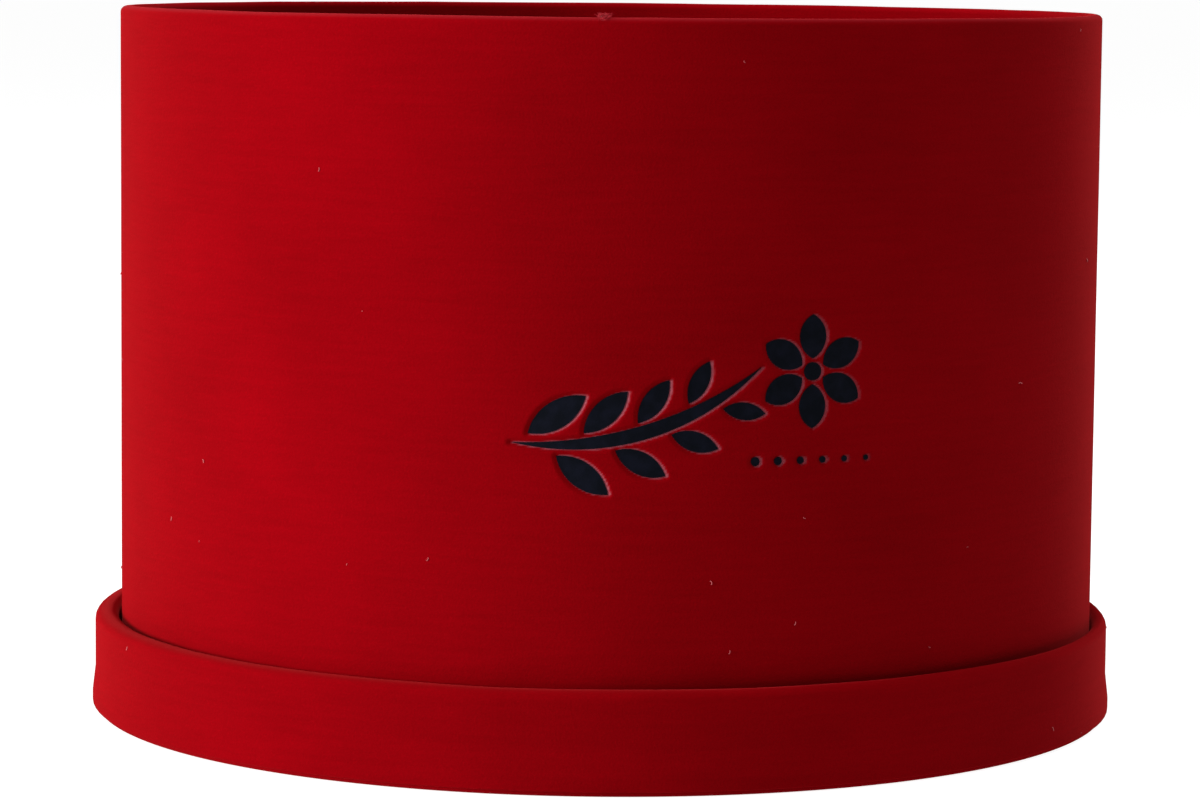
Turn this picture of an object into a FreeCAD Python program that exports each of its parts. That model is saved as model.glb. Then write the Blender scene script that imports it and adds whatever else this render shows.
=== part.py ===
# Round velvet flower box, standing in its own upturned lid.
#
# The box is a wound board tube with a board disc in its bottom. A velvet sheet is glued round it, turned in
# over the rim and turned under the base. Inside are a coated paper lining and a floor card. The lid is a
# shallower ring and disc, covered in a face velvet and a rim velvet. It lies face down, as the box's foot.
#
# Frame: origin at the centre of the face that the lid lies on, +Z up, emblem towards -Y, seams towards +Y.
import FreeCAD
import Part
import Sketcher
import math
import os

DOC = FreeCAD.newDocument("flower_box")

# Driving dimensions, in millimetres unless the meaning says otherwise.
SIZES = [
    ("box_diameter", 200.0, "outside of the box, over the velvet"),
    ("box_height", 140.0, "box from its underside to the top of the rim"),
    ("box_board", 2.0, "wall of the wound tube"),
    ("base_board", 2.0, "disc in the bottom of the tube"),
    ("velvet", 0.7, "flocked velvet on its paper backing"),
    ("fold_radius", 1.2, "outside radius of a velvet fold over a board edge"),
    ("rim_turn_in", 16.0, "velvet turned in over the rim of the box"),
    ("base_turn_under", 12.0, "velvet turned under the base"),
    ("seam_gap", 0.3, "gap where the two ends of a sheet meet"),
    ("stay_paper", 0.2, "gummed paper stay in the inside corner"),
    ("stay_leg", 12.0, "each leg of the stay"),
    ("lining", 0.4, "coated lining paper"),
    ("lining_drop", 5.0, "top of the lining below the rim"),
    ("lining_margin", 8.0, "lining turned in on the base"),
    ("floor_card", 0.8, "coated card on the floor of the box"),
    ("floor_card_gap", 0.4, "floor card to the lining, all round"),
    ("base_cover", 0.4, "paper disc glued on the underside"),
    ("base_cover_inset", 4.0, "base cover in from the outside of the box"),
    ("lid_gap", 1.4, "radial gap between the box and the inside of the lid"),
    ("lid_height", 19.8, "lid from its face to its open edge"),
    ("lid_board", 1.6, "wall of the lid ring"),
    ("lid_disc", 2.0, "disc in the lid"),
    ("lid_margin", 0.6, "face velvet where it is pressed thin on the ring"),
    ("lid_margin_depth", 5.0, "height of the face velvet's margin on the ring"),
    ("lid_hem", 1.0, "cut edge of the rim velvet above the face"),
    ("lid_hem_rise", 3.5, "height over which the rim velvet comes off the margin"),
    ("lid_lining", 0.4, "lining disc in the lid"),
    ("lid_lining_gap", 0.2, "lining disc to the velvet, all round"),
    ("box_off_centre", 1.0, "box set down this far to +X of the lid's centre"),
    ("emblem_height", 69.0, "middle of the emblem above the underside of the box"),
    ("press_depth", 0.45, "depth that the stamp presses the velvet down"),
    ("press_margin", 0.15, "pressed velvet beyond the edge of the film"),
    ("film", 0.1, "stamping film"),
    ("stem_length", 46.0, "stem from end to end, across"),
    ("stem_rise", 14.0, "rise of the stem over its length"),
    ("stem_sag", 5.0, "sag of the stem below its chord"),
    ("stem_width", 2.6, "stem at its middle, tapering to both ends"),
    ("stem_left", 10.0, "middle of the stem to the left of the emblem's middle"),
    ("leaf_count", 8, "leaves, alternately above and below the stem"),
    ("leaf_first", 0.06, "place of the first leaf, as a share of the stem"),
    ("leaf_step", 0.105, "leaf to leaf, as a share of the stem"),
    ("leaf_length", 12.5, "first leaf"),
    ("leaf_width", 5.0, "first leaf"),
    ("leaf_taper", 0.94, "size of each leaf, as a share of the one before"),
    ("leaf_angle", 38.0, "leaf away from the stem, in degrees"),
    ("leaf_gap", 0.7, "leaf or petal clear of what it grows from"),
    ("petal_count", 6, "petals of the bloom"),
    ("petal_length", 8.2, "petal"),
    ("petal_width", 5.2, "petal"),
    ("bloom_eye", 1.7, "radius of the dot in the bloom"),
    ("bloom_right", 23.0, "middle of the bloom to the right of the emblem's middle"),
    ("bloom_up", 6.0, "middle of the bloom above the emblem's middle"),
    ("bead_count", 6, "dots in the row under the bloom"),
    ("bead_radius", 0.85, "first dot"),
    ("bead_taper", 0.9, "size of each dot, as a share of the one before"),
    ("bead_pitch", 4.4, "dot to dot"),
    ("bead_down", 10.5, "row of dots below the emblem's middle"),
]

# Radii and heights worked out from the driving dimensions. The box's heights are from its own underside, and
# the lid's are from the face that it lies on.
PLACES = [
    ("axis", "0 * sizes.box_diameter", "on the axis"),
    ("ground", "0 * sizes.box_height", "lowest surface"),
    ("box_radius", "sizes.box_diameter / 2", "outside of the box"),
    ("wall_outer", "box_radius - sizes.velvet", "outside of the tube"),
    ("wall_inner", "wall_outer - sizes.box_board", "inside of the tube"),
    ("turn_in_radius", "wall_inner - sizes.velvet", "inside of the turned-in velvet"),
    ("turn_in_low", "sizes.box_height - sizes.rim_turn_in", "cut edge of the turned-in velvet"),
    ("turn_under_radius", "box_radius - sizes.base_turn_under", "cut edge of the turned-under velvet"),
    ("velvet_low", "ground + sizes.base_cover", "underside of the turned-under velvet"),
    ("wall_top", "sizes.box_height - sizes.velvet", "top of the tube"),
    ("base_low", "velvet_low + sizes.velvet", "underside of the tube and of the base"),
    ("base_top", "base_low + sizes.base_board", "top of the base"),
    ("stay_inner", "wall_inner - sizes.stay_paper", "inside of the stay on the wall"),
    ("stay_foot", "wall_inner - sizes.stay_leg", "edge of the stay on the base"),
    ("stay_floor", "base_top + sizes.stay_paper", "top of the stay on the base"),
    ("stay_top", "base_top + sizes.stay_leg", "edge of the stay on the wall"),
    ("lining_foot", "stay_inner - sizes.lining_margin", "edge of the lining on the base"),
    ("lining_over_stay", "stay_inner - sizes.lining", "inside of the lining over the stay"),
    ("lining_on_wall", "wall_inner - sizes.lining", "inside of the lining on the tube"),
    ("lining_over_velvet", "turn_in_radius - sizes.lining", "inside of the lining over the velvet"),
    ("lining_floor", "stay_floor + sizes.lining", "top of the lining on the base"),
    ("lining_top", "sizes.box_height - sizes.lining_drop", "top of the lining"),
    ("stay_bend", "stay_top + sizes.stay_paper", "lining back on the tube, above the stay"),
    ("velvet_bend", "turn_in_low - sizes.velvet", "lining off the tube, below the velvet"),
    ("stay_bend_low", "stay_top + sizes.lining / 2", "same bends on the lining's inside"),
    ("stay_bend_high", "stay_bend + sizes.lining / 2", ""),
    ("velvet_bend_low", "velvet_bend - sizes.lining / 2", ""),
    ("velvet_bend_high", "turn_in_low - sizes.lining / 2", ""),
    ("card_radius", "lining_over_stay - sizes.floor_card_gap", "floor card"),
    ("card_top", "lining_floor + sizes.floor_card", "top of the floor card"),
    ("cover_radius", "box_radius - sizes.base_cover_inset", "base cover"),
    ("cover_step", "turn_under_radius - sizes.velvet", "base cover pressed up inside the velvet"),
    ("cover_low", "base_low - sizes.base_cover", "underside of the base cover there"),
    ("lid_inner", "box_radius + sizes.lid_gap", "inside of the lid, on the velvet"),
    ("ring_inner", "lid_inner + sizes.velvet", "inside of the lid ring"),
    ("ring_outer", "ring_inner + sizes.lid_board", "outside of the lid ring"),
    ("lid_outer", "ring_outer + sizes.velvet", "outside of the lid, above the margin"),
    ("margin_outer", "ring_outer + sizes.lid_margin", "outside of the face velvet's margin"),
    ("hem_outer", "margin_outer + sizes.velvet", "outside of the rim velvet over the margin"),
    ("hem_bend", "sizes.lid_margin_depth - sizes.lid_margin", "rim velvet starts to come in"),
    ("hem_end", "sizes.lid_margin_depth + sizes.lid_hem_rise", "rim velvet is in"),
    ("hem_back", "sizes.lid_margin_depth + sizes.lid_margin", "back of the rim velvet is in"),
    ("ring_top", "sizes.lid_height - sizes.velvet", "top of the lid ring"),
    ("lid_disc_top", "sizes.velvet + sizes.lid_disc", "top of the lid's disc"),
    ("lid_floor", "lid_disc_top + sizes.lid_lining", "surface that the box stands on"),
    ("lid_lining_radius", "lid_inner - sizes.lid_lining_gap", "lining disc in the lid"),
    ("film_inner", "box_radius - sizes.press_depth", "floor of the impression"),
    ("film_outer", "film_inner + sizes.film", "face of the film"),
]

SHEET_OF = {}
PIECES = {}


def add_sheet(name, rows, lead):
    """A spreadsheet with one aliased cell for each row. lead goes before each value: = makes a formula."""
    sheet = DOC.addObject("Spreadsheet::Sheet", name)
    for row, (alias, value, meaning) in enumerate(rows, start=1):
        sheet.set(f"A{row}", alias)
        sheet.set(f"B{row}", f"{lead}{value}")
        sheet.set(f"C{row}", meaning)
        sheet.setAlias(f"B{row}", alias)
        SHEET_OF[alias] = sheet
    DOC.recompute()


def bound(alias):
    """The expression that reads an aliased cell."""
    return f"{SHEET_OF[alias].Name}.{alias}"


def size(alias):
    """The number in an aliased cell."""
    return float(getattr(SHEET_OF[alias], alias))


def keep(result):
    """Keeps an object as a sub-part. Its label names its file."""
    PIECES[result.Label] = result


# --- Turned pieces -----------------------------------------------------------------------------------------


def origin_plane(body, role):
    """One of a body's own origin planes."""
    return next(feature for feature in body.Origin.OriginFeatures if feature.Role == role)


def outline(body, corners):
    """A sketch on the body's YZ plane: a closed polygon whose corners are (radius, height) aliases.

    Radii are drawn towards -Y, so that a turn short of 360 degrees is open at the back of the piece.
    """
    sketch = body.newObject("Sketcher::SketchObject", body.Name + "_outline")
    sketch.AttachmentSupport = (origin_plane(body, "YZ_Plane"), [""])
    sketch.MapMode = "FlatFace"
    points = [FreeCAD.Vector(-size(radius), size(height), 0) for radius, height in corners]
    for start, end in zip(points, points[1:] + points[:1]):
        sketch.addGeometry(Part.LineSegment(start, end), False)
    for index, (radius, height) in enumerate(corners):
        following = (index + 1) % len(corners)
        sketch.addConstraint(Sketcher.Constraint("Coincident", index, 2, following, 1))
        bind_corner(sketch, index, "DistanceX", points[index].x, f"-{bound(radius)}")
        bind_corner(sketch, index, "DistanceY", points[index].y, bound(height))
    return sketch


def bind_corner(sketch, index, kind, value, expression):
    """Binds one coordinate of a corner to the sheet."""
    number = sketch.addConstraint(Sketcher.Constraint(kind, -1, 1, index, 1, value))
    name = f"{kind}_{index}"
    sketch.renameConstraint(number, name)
    sketch.setExpression(f"Constraints.{name}", expression)


def turned(name, corners, open_at=None):
    """A body turned about Z from an outline. open_at is the radius where a sheet's ends leave its seam."""
    body = DOC.addObject("PartDesign::Body", name)
    sketch = outline(body, corners)
    turn = body.newObject("PartDesign::Revolution", name + "_turn")
    turn.Profile = sketch
    turn.ReferenceAxis = (sketch, ["V_Axis"])
    turn.Midplane = True
    if open_at:
        turn.setExpression("Angle", f"360 - sizes.seam_gap / {bound(open_at)} * 180 / pi")
    DOC.recompute()
    return body


def disc(name, radius, low, high):
    """A flat round disc between two heights."""
    return turned(name, [("axis", low), (radius, low), (radius, high), ("axis", high)])


def ring(name, inner, outer, low, high):
    """A plain tube between two radii and two heights."""
    return turned(name, [(inner, low), (outer, low), (outer, high), (inner, high)])


def round_off(body, corners, radius):
    """Rounds the circular edges at the given (radius, height) corners."""
    wanted = [(size(place), size(height)) for place, height in corners]
    sharp = body.Tip
    names = []
    for number, edge in enumerate(sharp.Shape.Edges, start=1):
        curve = edge.Curve
        if isinstance(curve, Part.Circle) and any(
            math.isclose(curve.Radius, r, abs_tol=1e-3) and math.isclose(curve.Center.z, z, abs_tol=1e-3)
            for r, z in wanted
        ):
            names.append(f"Edge{number}")
    fillet = body.newObject("PartDesign::Fillet", f"{body.Name}_{radius}")
    fillet.Base = (sharp, names)
    fillet.setExpression("Radius", bound(radius))
    body.Tip = fillet
    DOC.recompute()


def stand_in_lid(result):
    """Places a piece of the box, which is modelled from its own underside, on the lining of the lid."""
    result.setExpression("Placement.Base.x", bound("box_off_centre"))
    result.setExpression("Placement.Base.z", bound("lid_floor"))
    return result


# --- Boards of the box -------------------------------------------------------------------------------------


def box_boards():
    """The wound tube, and the disc pressed into it flush with its lower end."""
    keep(stand_in_lid(ring("box_wall_board", "wall_inner", "wall_outer", "base_low", "wall_top")))
    keep(stand_in_lid(disc("box_base_board", "wall_inner", "base_low", "base_top")))


def corner_stay():
    """A gummed paper strip that ties the disc to the tube, half on each."""
    body = turned(
        "box_corner_stay",
        [
            ("stay_foot", "base_top"),
            ("wall_inner", "base_top"),
            ("wall_inner", "stay_top"),
            ("stay_inner", "stay_top"),
            ("stay_inner", "stay_floor"),
            ("stay_foot", "stay_floor"),
        ],
        open_at="wall_inner",
    )
    keep(stand_in_lid(body))


# --- Linings of the box ------------------------------------------------------------------------------------


def wall_lining():
    """Coated paper on the inside of the wall, over the stay and over the cut edge of the turned-in velvet."""
    body = turned(
        "box_wall_lining",
        [
            ("lining_foot", "stay_floor"),
            ("stay_inner", "stay_floor"),
            ("stay_inner", "stay_top"),
            ("wall_inner", "stay_bend"),
            ("wall_inner", "velvet_bend"),
            ("turn_in_radius", "turn_in_low"),
            ("turn_in_radius", "lining_top"),
            ("lining_over_velvet", "lining_top"),
            ("lining_over_velvet", "velvet_bend_high"),
            ("lining_on_wall", "velvet_bend_low"),
            ("lining_on_wall", "stay_bend_high"),
            ("lining_over_stay", "stay_bend_low"),
            ("lining_over_stay", "lining_floor"),
            ("lining_foot", "lining_floor"),
        ],
        open_at="wall_inner",
    )
    keep(stand_in_lid(body))


def floor_card():
    """The card on the floor, lying on the turned-in margin of the lining."""
    keep(stand_in_lid(disc("box_floor_card", "card_radius", "lining_floor", "card_top")))


def base_cover():
    """A paper disc underneath, lapped over the turned-under velvet and pressed up to the board inside it."""
    body = turned(
        "box_base_cover",
        [
            ("axis", "cover_low"),
            ("cover_step", "cover_low"),
            ("turn_under_radius", "ground"),
            ("cover_radius", "ground"),
            ("cover_radius", "velvet_low"),
            ("turn_under_radius", "velvet_low"),
            ("cover_step", "base_low"),
            ("axis", "base_low"),
        ],
    )
    keep(stand_in_lid(body))


# --- Emblem ------------------------------------------------------------------------------------------------
# A leafy sprig with one bloom and a row of dots, stamped in dark film. Its outlines are drawn flat, u to
# the right and v up from the emblem's middle, and pressed straight into the front of the box. The impression
# is the same outlines, wider all round by the press margin.


def flat(u, v):
    """A point of the flat drawing, which stands on the XZ plane."""
    return FreeCAD.Vector(u, 0, size("emblem_height") + v)


def dot(centre, radius):
    """A round face."""
    edge = Part.Circle(flat(*centre), FreeCAD.Vector(0, -1, 0), radius).toShape()
    return Part.Face(Part.Wire([edge]))


def blade(start, heading, length, bulges, margin):
    """A pointed face between two arcs. Their middles are the bulges to the left of its middle line."""
    along = (math.cos(heading), math.sin(heading))

    def point(reach, left):
        return flat(
            start[0] + along[0] * reach - along[1] * left,
            start[1] + along[1] * reach + along[0] * left,
        )

    root, tip = point(-margin, 0), point(length + margin, 0)
    left, right = bulges[0] + margin, bulges[1] - margin
    above = Part.Arc(root, point(length / 2, left), tip).toShape()
    below = Part.Arc(tip, point(length / 2, right), root).toShape()
    return Part.Face(Part.Wire([above, below]))


def stem_ends():
    """The stem's left end, its heading and the length of its chord."""
    across, rise = size("stem_length"), size("stem_rise")
    start = (-size("stem_left") - across / 2, -rise / 2)
    return start, math.atan2(rise, across), math.hypot(across, rise)


def stem_at(share):
    """The point on the middle of the stem at a share of its arc, and its heading there."""
    start, tilt, chord = stem_ends()
    sag = size("stem_sag")
    radius = (chord**2 / 4 + sag**2) / (2 * sag)
    turn = math.asin(chord / 2 / radius) * (2 * share - 1)
    along = chord / 2 + radius * math.sin(turn)
    left = radius * (1 - math.cos(turn)) - sag
    u = start[0] + along * math.cos(tilt) - left * math.sin(tilt)
    v = start[1] + along * math.sin(tilt) + left * math.cos(tilt)
    return (u, v), tilt + turn


def stem_face(margin):
    """The stem: thickest at its middle."""
    start, tilt, chord = stem_ends()
    sag, half_width = size("stem_sag"), size("stem_width") / 2
    return blade(start, tilt, chord, (half_width - sag, -half_width - sag), margin)


def leaf_faces(margin):
    """The leaves, alternately above and below the stem, smaller towards the bloom."""
    faces = []
    length, half_width = size("leaf_length"), size("leaf_width") / 2
    clear = size("stem_width") / 2 + size("leaf_gap")
    for number in range(int(size("leaf_count"))):
        side = -1 if number % 2 else 1
        (u, v), heading = stem_at(size("leaf_first") + size("leaf_step") * number)
        root = (u - side * clear * math.sin(heading), v + side * clear * math.cos(heading))
        out = heading + side * math.radians(size("leaf_angle"))
        faces.append(blade(root, out, length, (half_width, -half_width), margin))
        length *= size("leaf_taper")
        half_width *= size("leaf_taper")
    return faces


def bloom_faces(margin):
    """Petals round a dot."""
    centre = (size("bloom_right"), size("bloom_up"))
    clear, half_width = size("bloom_eye") + size("leaf_gap"), size("petal_width") / 2
    faces = [dot(centre, size("bloom_eye") + margin)]
    petals = int(size("petal_count"))
    for number in range(petals):
        out = math.pi / 2 + 2 * math.pi * number / petals
        root = (centre[0] + clear * math.cos(out), centre[1] + clear * math.sin(out))
        faces.append(blade(root, out, size("petal_length"), (half_width, -half_width), margin))
    return faces


def sprig_faces(margin):
    """Stem, leaves and bloom."""
    return [stem_face(margin)] + leaf_faces(margin) + bloom_faces(margin)


def bead_faces(margin):
    """A row of dots under the bloom, each smaller than the one before."""
    faces = []
    radius = size("bead_radius")
    beads = int(size("bead_count"))
    for number in range(beads):
        u = size("bloom_right") + size("bead_pitch") * (number - (beads - 1) / 2)
        faces.append(dot((u, -size("bead_down")), radius + margin))
        radius *= size("bead_taper")
    return faces


def pressed(name, faces, inner, outer):
    """The faces pressed straight into the front of the box, kept between two radii."""
    reach = FreeCAD.Vector(0, -outer - 1, 0)
    bars = Part.makeCompound([face.extrude(reach) for face in faces])
    tall = size("box_radius")
    low = FreeCAD.Vector(0, 0, size("emblem_height") - tall / 2)
    band = Part.makeCylinder(outer, tall, low).cut(Part.makeCylinder(inner, tall, low))
    feature = DOC.addObject("Part::Feature", name)
    feature.Shape = Part.makeCompound(bars.common(band).Solids)
    return stand_in_lid(feature)


def emblem_films():
    """The two stamped films, on the floor of the impression."""
    inner, outer = size("film_inner"), size("film_outer")
    keep(pressed("emblem_sprig_film", sprig_faces(0), inner, outer))
    keep(pressed("emblem_beads_film", bead_faces(0), inner, outer))


def impression():
    """What the stamp takes out of the velvet."""
    margin = size("press_margin")
    faces = sprig_faces(margin) + bead_faces(margin)
    return pressed("emblem_impression", faces, size("film_inner"), size("box_radius") + size("velvet"))


# --- Velvet of the box -------------------------------------------------------------------------------------


def wall_velvet():
    """One sheet round the tube, turned in over the rim and under the base, with the emblem pressed in."""
    sheet = turned(
        "wall_velvet_sheet",
        [
            ("turn_under_radius", "velvet_low"),
            ("box_radius", "velvet_low"),
            ("box_radius", "box_height"),
            ("turn_in_radius", "box_height"),
            ("turn_in_radius", "turn_in_low"),
            ("wall_inner", "turn_in_low"),
            ("wall_inner", "wall_top"),
            ("wall_outer", "wall_top"),
            ("wall_outer", "base_low"),
            ("turn_under_radius", "base_low"),
        ],
        open_at="box_radius",
    )
    folds = [("box_radius", "velvet_low"), ("box_radius", "box_height"), ("turn_in_radius", "box_height")]
    round_off(sheet, folds, "fold_radius")
    stamped = DOC.addObject("Part::Cut", "box_wall_velvet")
    stamped.Base = stand_in_lid(sheet)
    stamped.Tool = impression()
    keep(stamped)


# --- Lid ---------------------------------------------------------------------------------------------------


def lid_boards():
    """The lid's ring, the disc pressed into it flush with its face, and the lining on the disc."""
    keep(ring("lid_ring_board", "ring_inner", "ring_outer", "velvet", "ring_top"))
    keep(disc("lid_disc_board", "ring_inner", "velvet", "lid_disc_top"))
    keep(disc("lid_floor_lining", "lid_lining_radius", "lid_disc_top", "lid_floor"))


def lid_face_velvet():
    """A velvet disc on the face, its margin turned on to the outside of the ring and pressed thin."""
    body = turned(
        "lid_face_velvet",
        [
            ("axis", "ground"),
            ("margin_outer", "ground"),
            ("margin_outer", "lid_margin_depth"),
            ("ring_outer", "lid_margin_depth"),
            ("ring_outer", "velvet"),
            ("axis", "velvet"),
        ],
    )
    round_off(body, [("margin_outer", "ground")], "lid_hem")
    keep(body)


def lid_rim_velvet():
    """A velvet strip round the ring: over the face velvet's margin, the open edge and down the inside."""
    body = turned(
        "lid_rim_velvet",
        [
            ("margin_outer", "lid_hem"),
            ("hem_outer", "lid_hem"),
            ("hem_outer", "hem_bend"),
            ("lid_outer", "hem_end"),
            ("lid_outer", "lid_height"),
            ("lid_inner", "lid_height"),
            ("lid_inner", "lid_disc_top"),
            ("ring_inner", "lid_disc_top"),
            ("ring_inner", "ring_top"),
            ("ring_outer", "ring_top"),
            ("ring_outer", "hem_back"),
            ("margin_outer", "lid_margin_depth"),
        ],
        open_at="lid_outer",
    )
    round_off(body, [("lid_outer", "lid_height"), ("lid_inner", "lid_height")], "fold_radius")
    keep(body)


# --- Build, check and write --------------------------------------------------------------------------------


def check():
    """Stops on an object that failed, or on a sub-part whose shape is null or not valid."""
    for thing in DOC.Objects:
        if "Invalid" in thing.State or "Error" in thing.State:
            raise SystemExit(f"{thing.Label} failed: {thing.State}")
    for label, result in PIECES.items():
        shape = result.Shape
        if shape.isNull() or not shape.isValid() or not shape.Solids:
            raise SystemExit(f"{label} has no valid solid")


def write():
    """Writes one STEP file for each sub-part and prints its volume."""
    os.makedirs("parts", exist_ok=True)
    for label, result in PIECES.items():
        result.Shape.exportStep(os.path.join("parts", label + ".step"))
        print(f"{label}: {len(result.Shape.Solids)} solids, {result.Shape.Volume:.0f} mm3")


add_sheet("sizes", SIZES, "")
add_sheet("places", PLACES, "=")
box_boards()
corner_stay()
wall_lining()
floor_card()
base_cover()
wall_velvet()
emblem_films()
lid_boards()
lid_face_velvet()
lid_rim_velvet()
DOC.recompute()
check()
write()
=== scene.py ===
from math import acos, asin, cos, pi, radians, sin, tan

import bmesh
import bpy
from mathutils import Matrix, Vector


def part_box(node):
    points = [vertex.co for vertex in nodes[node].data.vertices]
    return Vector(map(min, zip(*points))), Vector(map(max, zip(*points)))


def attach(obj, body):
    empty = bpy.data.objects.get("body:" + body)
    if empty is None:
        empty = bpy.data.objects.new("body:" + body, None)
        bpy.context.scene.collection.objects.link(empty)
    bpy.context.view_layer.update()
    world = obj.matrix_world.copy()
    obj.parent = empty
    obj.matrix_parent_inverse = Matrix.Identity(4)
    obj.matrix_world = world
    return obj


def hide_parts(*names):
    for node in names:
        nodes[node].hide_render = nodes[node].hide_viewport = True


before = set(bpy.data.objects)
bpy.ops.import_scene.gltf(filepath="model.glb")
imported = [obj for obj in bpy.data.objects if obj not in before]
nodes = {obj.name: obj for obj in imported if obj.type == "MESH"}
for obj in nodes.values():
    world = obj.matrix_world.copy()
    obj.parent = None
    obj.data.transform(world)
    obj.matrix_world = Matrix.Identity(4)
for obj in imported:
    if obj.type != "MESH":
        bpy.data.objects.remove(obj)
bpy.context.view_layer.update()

# --- Camera ------------------------------------------------------------------------------------------------
# A long lens at arm's length and a little above the rim, turned so that the emblem is right of the middle.

camera_azimuth = radians(-8.9)
camera_distance = 0.880
camera_height = 0.1563
camera_left = 0.0016
camera_pitch = radians(6.08)
camera_roll = radians(0.544)

wall_low, wall_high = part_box("box_wall_board")
box_axis = Vector(((wall_low.x + wall_high.x) / 2, (wall_low.y + wall_high.y) / 2, 0))
ahead = Vector((-sin(camera_azimuth), cos(camera_azimuth), 0))
right = Vector((cos(camera_azimuth), sin(camera_azimuth), 0))
up = Vector((0, 0, 1))

camera = bpy.data.objects.new("camera", bpy.data.cameras.new("camera"))
camera.data.lens = 128.3
camera.data.sensor_width = 36
camera.data.clip_start = 0.05
camera.data.clip_end = 100
camera.data.dof.use_dof = False
sight = ahead * cos(camera_pitch) - up * sin(camera_pitch)
tilted_up = ahead * sin(camera_pitch) + up * cos(camera_pitch)
turn = Matrix((right, tilted_up, -sight)).transposed() @ Matrix.Rotation(camera_roll, 3, "Z")
place = box_axis - ahead * camera_distance - right * camera_left + up * camera_height
camera.matrix_world = Matrix.Translation(place) @ turn.to_4x4()
bpy.context.scene.collection.objects.link(camera)
bpy.context.scene.camera = camera
bpy.context.scene.view_settings.view_transform = "Standard"


# --- Studio ------------------------------------------------------------------------------------------------
# A table top of opal acrylic lit from below, in a white room. A low softbox stands to the left of the box, a
# smaller one behind it on the right lifts the far edge, and a wide one hangs overhead.


def linear(hex_colour):
    """Linear RGBA of an sRGB hex colour."""
    channels = [int(hex_colour[i : i + 2], 16) / 255 for i in (1, 3, 5)]
    return [c / 12.92 if c <= 0.04045 else ((c + 0.055) / 1.055) ** 2.4 for c in channels] + [1.0]


def add_node(tree, kind, inputs=None, **settings):
    """Adds a node. An input, by name or number, takes a value, an output, or a node for its live output."""
    made = tree.nodes.new(kind)
    for name, value in settings.items():
        setattr(made, name, value)
    for name, value in (inputs or {}).items():
        if isinstance(value, bpy.types.Node):
            value = next(output for output in value.outputs if output.enabled)
        if isinstance(value, bpy.types.NodeSocket):
            tree.links.new(value, made.inputs[name])
        else:
            made.inputs[name].default_value = value
    return made


def new_material(name):
    """A material with an empty tree, and that tree."""
    made = bpy.data.materials.new(name)
    made.use_nodes = True
    made.node_tree.nodes.clear()
    return made, made.node_tree


def softbox(name, azimuth, height, distance, width, tall, power):
    """An area light that faces the box. Its azimuth is from the camera's side, positive to the right."""
    bearing = camera_azimuth + radians(azimuth)
    lamp = bpy.data.objects.new(name, bpy.data.lights.new(name, "AREA"))
    lamp.data.shape = "RECTANGLE"
    lamp.data.size = width
    lamp.data.size_y = tall
    lamp.data.energy = power
    lamp.location = box_axis + Vector((sin(bearing), -cos(bearing), 0)) * distance + up * height
    target = box_axis + up * (wall_high.z / 2)
    lamp.rotation_euler = (target - lamp.location).to_track_quat("-Z", "Y").to_euler()
    bpy.context.scene.collection.objects.link(lamp)


softbox("key_softbox", azimuth=-73, height=0.3, distance=1.7, width=0.9, tall=0.6, power=57)
softbox("edge_softbox", azimuth=146, height=0.5, distance=1.7, width=0.5, tall=0.9, power=19)
softbox("overhead_softbox", azimuth=-30, height=1.9, distance=0.25, width=2.0, tall=2.0, power=56)

room = bpy.data.worlds.new("white_room")
room.use_nodes = True
tree = room.node_tree
tree.nodes.clear()
walls_light = add_node(tree, "ShaderNodeBackground", {"Color": linear("#ffffff"), "Strength": 0.17})
walls_seen = add_node(tree, "ShaderNodeBackground", {"Color": linear("#ffffff"), "Strength": 1.0})
ray = add_node(tree, "ShaderNodeLightPath")
walls = add_node(
    tree, "ShaderNodeMixShader", {0: ray.outputs["Is Camera Ray"], 1: walls_light, 2: walls_seen}
)
add_node(tree, "ShaderNodeOutputWorld", {"Surface": walls})
bpy.context.scene.world = room

# Opal acrylic spreads the lamps under it into an even white, with only a trace of cloudiness.
opal_acrylic, tree = new_material("opal_acrylic_table_top")
cloud_mm = 180
coords = add_node(tree, "ShaderNodeTexCoord").outputs["Object"]
cloudiness = add_node(tree, "ShaderNodeTexNoise", {"Vector": coords, "Scale": 1000 / cloud_mm, "Detail": 2.0})
opal = add_node(
    tree,
    "ShaderNodeMix",
    {"Factor": cloudiness, "A": linear("#6e6e6d"), "B": linear("#757574")},
    data_type="RGBA",
)
acrylic = add_node(
    tree,
    "ShaderNodeBsdfPrincipled",
    {"Base Color": opal, "Roughness": 0.6, "Emission Color": linear("#ffffff"), "Emission Strength": 0.93},
)
add_node(tree, "ShaderNodeOutputMaterial", {"Surface": acrylic})

table_half = 40.0
table_corners = [(x * table_half, y * table_half, 0) for x, y in ((-1, -1), (1, -1), (1, 1), (-1, 1))]
table_top = bpy.data.objects.new("table_top", bpy.data.meshes.new("table_top"))
table_top.data.from_pydata(table_corners, [], [(0, 1, 2, 3)])
table_top.data.materials.append(opal_acrylic)
bpy.context.scene.collection.objects.link(table_top)


# --- Boards ------------------------------------------------------------------------------------------------
# The wound tube and the base of the box, and the ring and disc of the lid. They are greyboard, pressed from
# pulped waste paper and glued edge to face, and are seen only where a covering leaves an edge of them.


def finish_node(name, material):
    """Gives a CAD node its material."""
    nodes[name].data.materials.clear()
    nodes[name].data.materials.append(material)


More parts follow.
